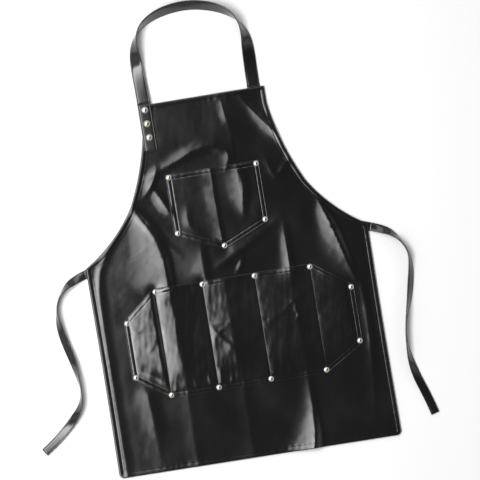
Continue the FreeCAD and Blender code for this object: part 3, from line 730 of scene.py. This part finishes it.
waistFolds = [   # short wrinkles, points as in panelFolds, heights before foldShare
    [(-208, -66, 0.2, 10, 10), (-186, -80, 1.0, 10, 12), (-168, -52, 0.2, 9, 10)],
    [(-204, -112, 0.1, 10, 10), (-172, -118, 0.9, 12, 10), (-160, -94, 0.2, 9, 9)],
    [(-200, -148, 0.4, 16, 9), (-174, -160, 1.4, 18, 9), (-156, -176, 0.2, 12, 8)],
    [(-145, -82, 0.4, 6, 7), (-118, -84, 0.7, 6, 8)],
    [(-56, -84, 0.6, 8, 10), (-36, -110, 1.1, 9, 12), (-18, -134, 0.2, 8, 9)],
    [(-54, -112, 0.2, 8, 8), (-34, -96, 0.8, 9, 9), (-14, -84, 0.3, 8, 8)],
    [(44, -100, 0.2, 8, 9), (78, -84, 0.5, 8, 10), (108, -62, 0.5, 7, 9)],
    [(102, -60, 0.4, 5, 7), (112, -70, 1.3, 5, 7), (108, -80, 0.9, 5, 6), (114, -92, 1.1, 5, 6),
     (104, -104, 0.3, 5, 7)],
    [(188, -74, 0.2, 8, 9), (206, -66, 1.1, 8, 10), (218, -70, 0.3, 8, 8)],
    [(184, -85, 0.4, 5, 6), (216, -86, 0.6, 5, 6)],
    [(196, -152, 0.2, 8, 8), (207, -142, 1.1, 8, 10), (214, -122, 0.2, 8, 8)],
    [(160, -14, 0.2, 7, 8), (170, -22, 1.0, 7, 10), (184, -32, 0.2, 7, 8)],
    [(4, -30, 0.1, 8, 9), (2, -70, 0.6, 8, 10), (-4, -110, 0.1, 8, 9)],
    [(-98, -176, 0.1, 5, 6), (-96, -194, 1.0, 6, 7)], [(-72, -164, 0.1, 5, 6), (-69, -192, 1.2, 6, 8)],
    [(-46, -164, 0.1, 5, 6), (-50, -192, 1.1, 6, 8)], [(-26, -170, 0.1, 5, 6), (-29, -192, 1.0, 6, 8)],
    [(56, -160, 0.1, 5, 6), (51, -190, 1.1, 6, 8)], [(82, -172, 0.1, 5, 6), (82, -192, 0.9, 5, 7)],
    [(100, -176, 0.1, 5, 6), (100, -194, 0.7, 5, 6)], [(-132, -170, 0.1, 5, 6), (-136, -194, 1.0, 6, 8)],
]
compartments = [   # left seam, crest, right seam, height at the crest
    (-206.0, -152.0, -146.7, 3.6), (-146.7, -117.0, -56.5, 2.8), (-56.5, -14.0, 42.4, 2.2),
    (42.4, 110.0, 147.6, 1.7), (147.6, 208.0, 217.0, 1.6),
]


def compartmentTent(x):
    # nearly straight up from the left seam, then a hollow fall to the right one
    tent = np.zeros(np.shape(x))
    for left, crest, right, height in compartments:
        rising = 1 - np.clip(1 - (x - left) / (crest - left), 0, 1) ** 1.35
        falling = np.clip((right - x) / (right - crest), 0, 1) ** 1.8
        inside = (x > left) & (x < right)
        tent = np.where(inside, height * np.where(x < crest, rising, falling), tent)
    return tent


def makeWaistPocket():
    w = waistPocket
    columns = steppedAxis(w["left"], w["right"], w["grid"], stops=w["seams"] + w["ridges"])
    low, high = waistEdges(columns)
    x, y = patchGrid(columns, low, high, w["grid"])
    lowEdge, highEdge = waistEdges(x)
    leftSlope = math.hypot(1, (w["top"] - w["shoulder"]) / (w["corner"] + w["left"]))
    topCos = np.where((x < -w["corner"]) | (x > w["corner"] + 2), 1 / abs(leftSlope), 1)
    footSlope = math.hypot(1, (w["hip"] - w["bottom"]) / (w["corner"] + w["left"]))
    lowCos = np.where((x < -w["corner"]) | (x > w["corner"]), 1 / abs(footSlope), 1)
    sides = np.minimum(x - w["left"], w["right"] - x)
    feet = (y - lowEdge) * lowCos
    mouth = (highEdge - y) * topCos
    gap = np.minimum(sides, feet)
    edge = np.minimum(gap, mouth)
    along = np.where(feet < sides, x, y)
    lip = np.sqrt(np.clip(1 - (1 - np.clip(edge, 0, 1.0)) ** 2, 0, 1))
    seamGap = np.full(x.shape, 1e9)
    for seam in w["seams"]:
        seamGap = np.minimum(seamGap, np.abs(x - seam))
    shifts = (-2.4, -1.2, 0, 1.2, 2.4)   # rounds each crest off
    tent = sum(compartmentTent(x + shift) for shift in shifts) / len(shifts)
    rise = ease(4, 72, feet) * ease(9, 13, sides)
    bulge = tent * rise
    for path in waistFolds:
        bulge += w["foldShare"] * fold(x, y, path) * ease(9, 15, gap) * ease(1, 6, seamGap)
    wander = 0.25 * (ripple(x, y, 55, 21) + 0.6) + 0.12 * ripple(x, y * 0.35, 20, 14)
    bulge += wander * ease(9, 20, gap) * ease(1, 6, seamGap)
    crossing = 0.25 * np.exp(-((y - w["crossCrease"]) / 2.5) ** 2) * ease(10, 16, gap)
    trim = seamTrim(gap, along, seamInsets) + seamTrim(mouth, x, mouthInsets) * ease(2, 6, gap)
    trim -= 0.16 * np.exp(-(seamGap / 0.9) ** 2) * ease(8, 12, feet)
    base = relief(x, y) * 0.6
    upper = base + pocketLay["face"] + lip + bulge + crossing + trim
    stand = ease(9.5, 12.5, gap) * ease(1.5, 4.5, seamGap)
    back = base + pocketLay["back"]
    lower = back + np.clip(upper - back - pocketLay["ply"], 0, None) * stand
    lower = lower + (1 - lip) * (upper - lower) * 0.5 * (mouth < 1.0)
    lift = relief(x, y) * 0.4 * (1 - ease(0, 14, np.minimum(gap, mouth)))
    return closedSheet("waistPocket", x, y, upper + lift, lower + lift, pocketLeather)


chestItem = makeChestPocket()
waistItem = makeWaistPocket()
print("pockets", len(chestItem.data.polygons), len(waistItem.data.polygons))

# ---- strap tab and sewn-in ends ----

sewnIn = 22   # how far an end runs on behind the panel


def straightBand(name, band, start, end, height=1.0, rings=24):
    line = np.linspace([*start, height], [*end, height], rings)
    heading = (line[-1] - line[0]) / np.linalg.norm(line[-1] - line[0])
    side = np.cross([0, 0, 1], heading)
    wide = np.repeat(side[None, :], rings, axis=0)
    face = np.repeat(np.array([[0, 0, 1.0]]), rings, axis=0)
    bandLines[name] = (line, wide, face)
    return sweepBand(name, line, wide, face, band["width"], 2 * band["ply"], bandLeather)


tabLow, tabHigh = (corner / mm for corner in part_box("neck_strap_tab"))
tabX = neckStrap["route"][-1][0]
rootX, rootY = neckStrap["route"][0][:2]
tabItem = straightBand("strapTab", neckStrap, (tabX, tabLow.y), (tabX, tabHigh.y), (tabLow.z + tabHigh.z) / 2)
strapRootItem = straightBand("strapRoot", neckStrap, (rootX, rootY - sewnIn), (rootX, rootY))


def tieRoot(name, tie):
    (x0, y0), (x1, y1) = tie["route"][0][:2], tie["route"][1][:2]
    reach = sewnIn / math.hypot(x1 - x0, y1 - y0)
    return straightBand(name, tie, (x0 - (x1 - x0) * reach, y0 - (y1 - y0) * reach), (x0, y0))


leftRootItem = tieRoot("tieRootLeft", leftTie)
rightRootItem = tieRoot("tieRootRight", rightTie)

# ---- stitches ----

stitch = {
    "pitch": 3.4, "length": 2.7, "width": 0.75, "height": 0.6, "lift": 0.16, "sides": 8, "rings": 5,
    "bandInset": 2.1,
}


def stitchTree():
    # one small bead of thread at every pitch along each seam line
    tree = bpy.data.node_groups.new("stitchRow", "GeometryNodeTree")
    sockets = {"Geometry": "Geometry", "Pitch": "Float", "Length": "Float", "Width": "Float",
               "Height": "Float", "Seed": "Int", "Thread": "Material"}
    for label, kind in sockets.items():
        tree.interface.new_socket(label, in_out="INPUT", socket_type="NodeSocket" + kind)
    tree.interface.new_socket("Geometry", in_out="OUTPUT", socket_type="NodeSocketGeometry")
    start = tree.nodes.new("NodeGroupInput")
    end = tree.nodes.new("NodeGroupOutput")
    toCurve = addNode(tree, "GeometryNodeMeshToCurve")
    spaced = addNode(tree, "GeometryNodeResampleCurve", mode="LENGTH")
    bead = addNode(tree, "GeometryNodeMeshUVSphere", Segments=stitch["sides"], Rings=stitch["rings"],
                   Radius=0.5)
    size = addNode(tree, "ShaderNodeCombineXYZ")
    shaped = addNode(tree, "GeometryNodeTransform")
    tangent = addNode(tree, "GeometryNodeInputTangent")
    turn = addNode(tree, "FunctionNodeAlignRotationToVector", axis="X")
    uneven = addNode(tree, "FunctionNodeRandomValue", data_type="FLOAT_VECTOR")
    uneven.inputs["Min"].default_value = (0.86, 0.9, 0.8)
    uneven.inputs["Max"].default_value = (1.08, 1.1, 1.2)
    placed = addNode(tree, "GeometryNodeInstanceOnPoints")
    real = addNode(tree, "GeometryNodeRealizeInstances")
    smooth = addNode(tree, "GeometryNodeSetShadeSmooth")
    paint = addNode(tree, "GeometryNodeSetMaterial")
    wire(tree, (start, "Geometry", toCurve, "Mesh"), (toCurve, "Curve", spaced, "Curve"),
         (start, "Pitch", spaced, "Length"), (start, "Length", size, "X"), (start, "Width", size, "Y"),
         (start, "Height", size, "Z"), (bead, "Mesh", shaped, "Geometry"),
         (size, "Vector", shaped, "Scale"), (tangent, "Tangent", turn, "Vector"),
         (start, "Seed", uneven, "Seed"), (spaced, "Curve", placed, "Points"),
         (shaped, "Geometry", placed, "Instance"), (turn, "Rotation", placed, "Rotation"),
         (uneven, "Value", placed, "Scale"), (placed, "Instances", real, "Geometry"),
         (real, "Geometry", smooth, "Geometry"), (smooth, "Geometry", paint, "Geometry"),
         (start, "Thread", paint, "Material"), (paint, "Geometry", end, "Geometry"))
    return tree


def grown(item, tree, inputs):
    # runs a geometry tree on an object and keeps the plain mesh it gives
    modifier = item.modifiers.new("grow", "NODES")
    modifier.node_group = tree
    for socket in tree.interface.items_tree:
        if socket.item_type == "SOCKET" and socket.in_out == "INPUT" and socket.name in inputs:
            modifier[socket.identifier] = inputs[socket.name]
    bpy.context.view_layer.update()
    mesh = bpy.data.meshes.new_from_object(item.evaluated_get(bpy.context.evaluated_depsgraph_get()))
    item.modifiers.clear()
    item.data = mesh
    return item


stitchRow = stitchTree()


def sewSeams(name, seams, seed):   # seams are lists of points in millimetres
    places, edges = [], []
    for seam in seams:
        edges += [(len(places) + step, len(places) + step + 1) for step in range(len(seam) - 1)]
        places += [tuple(point) for point in seam]
    mesh = bpy.data.meshes.new(name)
    mesh.from_pydata((np.asarray(places) * mm).tolist(), edges, [])
    return grown(addObject(name, mesh), stitchRow, {
        "Pitch": stitch["pitch"] * mm, "Length": stitch["length"] * mm,
        "Width": stitch["width"] * mm, "Height": stitch["height"] * mm, "Seed": seed, "Thread": blackThread})


def lineThrough(corners, spacing=1.7):
    # evenly spaced points along straight runs between corners
    points = []
    for (x0, y0), (x1, y1) in zip(corners, corners[1:]):
        steps = max(2, int(math.hypot(x1 - x0, y1 - y0) / spacing))
        points += [(x0 + (x1 - x0) * step / steps, y0 + (y1 - y0) * step / steps) for step in range(steps)]
    return points + [corners[-1]]


def layOn(item, points, lift=stitch["lift"]):
    # drops a flat line onto the top of a piece
    tree = BVHTree.FromPolygons([vertex.co for vertex in item.data.vertices],
                                [polygon.vertices for polygon in item.data.polygons])
    seam = []
    for x, y in points:
        hit = tree.ray_cast(Vector((x * mm, y * mm, 0.1)), Vector((0, 0, -1)))[0]
        if hit is not None:
            seam.append((x, y, hit.z / mm + lift))
    return seam


def insetPath(corners, inset):
    # an open outline moved to its left by inset
    lines = []
    for (x0, y0), (x1, y1) in zip(corners, corners[1:]):
        length = math.hypot(x1 - x0, y1 - y0)
        shiftX, shiftY = -(y1 - y0) / length * inset, (x1 - x0) / length * inset
        lines.append(((x0 + shiftX, y0 + shiftY), (x1 + shiftX, y1 + shiftY)))
    moved = [lines[0][0]]
    for (a, b), (c, d) in zip(lines, lines[1:]):
        cross = (b[0] - a[0]) * (d[1] - c[1]) - (b[1] - a[1]) * (d[0] - c[0])
        part = ((c[0] - a[0]) * (d[1] - c[1]) - (c[1] - a[1]) * (d[0] - c[0])) / cross
        moved.append((a[0] + (b[0] - a[0]) * part, a[1] + (b[1] - a[1]) * part))
    return moved + [lines[-1][1]]


def panelSeam():
    inset, length = panel["stitchInset"], panel["halfLength"]
    heights = np.arange(length - inset, -length + inset, -1.5)
    left = np.stack([-halfWidth(heights) + inset * slant(heights), heights], axis=-1)
    right = left[::-1] * (-1, 1)
    loop = [tuple(point) for point in left] + lineThrough([tuple(left[-1]), tuple(right[0])])
    loop += [tuple(point) for point in right] + lineThrough([tuple(right[-1]), tuple(left[0])])
    x, y = settle(np.array([point[0] for point in loop]), np.array([point[1] for point in loop]))
    return list(zip(x, y))


def chestSeams():
    cx, half, top = chestPocket["centre"], chestPocket["half"], chestPocket["top"]
    outline = [(cx - half, top), (cx - half, chestPocket["side"]), (cx, chestPocket["tip"]),
               (cx + half, chestPocket["side"]), (cx + half, top)]
    seams = [lineThrough(insetPath(outline, inset)) for inset in seamInsets]
    short = half - mouthSeamShort
    for inset in seamInsets:
        seams.append(lineThrough([(cx - short, top - inset), (cx + short, top - inset)]))
    return seams


def waistSeams():
    w = waistPocket
    foot = [(w["left"], w["shoulder"]), (w["left"], w["hip"]), (-w["corner"] + 2.5, w["bottom"]),
            (w["corner"], w["bottom"]), (w["right"], w["hip"]), (w["right"], w["shoulder"])]
    mouth = [(w["right"], w["shoulder"]), (w["corner"] + 2, w["top"]), (-w["corner"], w["top"]),
             (w["left"], w["shoulder"])]
    seams = [lineThrough(insetPath(foot, inset)) for inset in seamInsets]
    seams += [lineThrough(insetPath(mouth, inset)) for inset in mouthInsets]
    return seams + [lineThrough([(seam, w["top"] - 2), (seam, w["bottom"] + 3)]) for seam in w["seams"]]


def bandSeams(name, band, sides=(1, -1)):
    line, wide, face = bandLines[name]
    offset, lift = band["width"] / 2 - stitch["bandInset"], band["ply"] * 0.82 + stitch["lift"] * 0.6
    return [line[1:-1] + wide[1:-1] * offset * hand + face[1:-1] * lift * side
            for hand in (1, -1) for side in sides]


def boxTack(cx, cy, width, height, turn, item):
    # a sewn box with a cross in it
    corners = [(-1, -1), (1, -1), (1, 1), (-1, 1), (-1, -1), (1, 1)], [(1, -1), (-1, 1)]
    cosine, sine = math.cos(math.radians(turn)), math.sin(math.radians(turn))
    seams = []
    for path in corners:
        placed = [(cx + a * width / 2 * cosine - b * height / 2 * sine,
                   cy + a * width / 2 * sine + b * height / 2 * cosine) for a, b in path]
        seams.append(layOn(item, lineThrough(placed)))
    return seams


tacks = [   # centre x and y, width, height, turn in degrees: left tie, right tie, neck strap
    (-257, 53, 11, 12, 17.2), (257, 54, 11, 12, -20.2), (rootX, 332, 20, 14, 0),
]
panelStitches = [layOn(apronPanel, panelSeam())]
for tack in tacks:
    panelStitches += boxTack(*tack, apronPanel)
sewn = {
    "panelStitches": (panelStitches, "apron"),
    "chestStitches": ([layOn(chestItem, seam) for seam in chestSeams()], "apron"),
    "waistStitches": ([layOn(waistItem, seam) for seam in waistSeams()], "apron"),
    "tabStitches": (bandSeams("strapTab", neckStrap, sides=(1,)), "neck_strap"),
    "neckStrapStitches": (bandSeams("neckStrap", neckStrap), None),
    "tieStitchesLeft": (bandSeams("waistTieLeft", leftTie), None),
    "tieStitchesRight": (bandSeams("waistTieRight", rightTie), None),
}
sewnItems = {}
for seed, (name, (seams, body)) in enumerate(sewn.items()):
    sewnItems[name] = sewSeams(name, [seam for seam in seams if len(seam) > 2], seed + 1)
    print(name, len(sewnItems[name].data.polygons))

# ---- metal ----

for name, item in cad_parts.items():
    if "rivet" in name or "snap" in name:
        item.data.materials.clear()
        item.data.materials.append(snapNickel if "snap" in name else rivetNickel)

# ---- what moves with what ----

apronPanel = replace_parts(apronPanel, "apron_panel")
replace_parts(chestItem, "chest_pocket")
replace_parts(waistItem, "waist_pocket")
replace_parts(tabItem, "neck_strap_tab")
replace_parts(strapRootItem, "neck_strap_root")
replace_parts(leftRootItem, "waist_tie_left_root")
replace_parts(rightRootItem, "waist_tie_right_root")
for item in (apronPanel, chestItem, waistItem, strapRootItem, leftRootItem, rightRootItem):
    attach(item, "apron")
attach(tabItem, "neck_strap")
for name, (seams, body) in sewn.items():
    if body is not None:
        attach(sewnItems[name], body)

bandHolds = [   # band, its stitches, body, where the bend starts and ends, far end
    (neckStrap, "neckStrapStitches", "neck_strap", (0.0983, 0.345, 0.001), (0.0823, 0.395, 0.001), "object"),
    (leftTie, "tieStitchesLeft", "left_tie", (-0.271, 0.0465, 0.001), (-0.290, 0.0405, 0.001), "bare"),
    (rightTie, "tieStitchesRight", "right_tie", (0.271, 0.050, 0.001), (0.290, 0.043, 0.001), "bare"),
]
for band, stitches, body, start, end, farEnd in bandHolds:
    item = bandItems[band["name"]]
    line = bandLines[band["name"]][0] * mm
    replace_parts(item, band["node"])
    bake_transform(item)
    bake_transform(sewnItems[stitches])

# ---- studio ----

studio = {
    "floor": 3.0, "floorLevel": -0.6, "overhead": 0.07, "wall": 0.75, "skirting": 0.4,   # a share of wall
    "softbox": {"distance": 2.9, "length": 2.6, "strip": 6.0, "nearest": 12.0,
                "radiance": (2.6, 5.0, 7.5, 9.0, 10.0)},   # strips from overhead outwards
    "topLight": ((-0.20, 1.75, 2.6), (2.4, 1.2), 2.0),
}


def makeFloor():
    size, level = studio["floor"] / mm, studio["floorLevel"]
    corners = [(-size, -size), (size, -size), (size, size), (-size, size)]
    item = makeMesh("floor", [(x, y, level) for x, y in corners], [(0, 1, 2, 3)])
    item.data.materials.append(newMaterial("paleFloor", {
        "Base Color": (0.92, 0.92, 0.92, 1), "Roughness": 0.9, "Specular IOR Level": 0.0})[0])


def addSoftbox(place, size, radiance):
    data = bpy.data.lights.new("softbox", "AREA")
    data.shape = "RECTANGLE"
    data.size, data.size_y = size
    data.energy = radiance * math.pi * size[0] * size[1]
    item = addObject("softbox", data)
    item.location = place
    item.rotation_euler = (-Vector(place)).to_track_quat("-Z", "Y").to_euler()


makeFloor()
addSoftbox(*studio["topLight"])
softbox = studio["softbox"]
for index, radiance in enumerate(softbox["radiance"]):
    lean = math.radians(softbox["nearest"] + index * softbox["strip"])
    strip = 2 * softbox["distance"] * math.tan(math.radians(softbox["strip"] / 2))
    place = (-softbox["distance"] * math.sin(lean), 0.1, softbox["distance"] * math.cos(lean))
    addSoftbox(place, (softbox["length"], strip), radiance)
world = bpy.data.worlds.new("studioSky")
world.use_nodes = True
tree = world.node_tree   # walls brighter than the ceiling, dimmer near the floor
sky = tree.nodes["Background"]
sky.inputs["Color"].default_value = (1, 1, 1, 1)
heading = addNode(tree, "ShaderNodeTexCoord")
split = addNode(tree, "ShaderNodeSeparateXYZ")
fade = addRange(tree, 0.35, 0.85, studio["wall"], studio["overhead"], interpolation_type="SMOOTHSTEP")
dim = addRange(tree, 0.10, 0.45, studio["skirting"], 1.0, interpolation_type="SMOOTHSTEP")
both = addNode(tree, "ShaderNodeMath", operation="MULTIPLY")
wire(tree, (heading, "Generated", split, "Vector"), (split, "Z", fade, "Value"), (split, "Z", dim, "Value"),
     (fade, "Result", both, 0), (dim, "Result", both, 1), (both, 0, sky, "Strength"))
scene.world = world

print("scene ready")
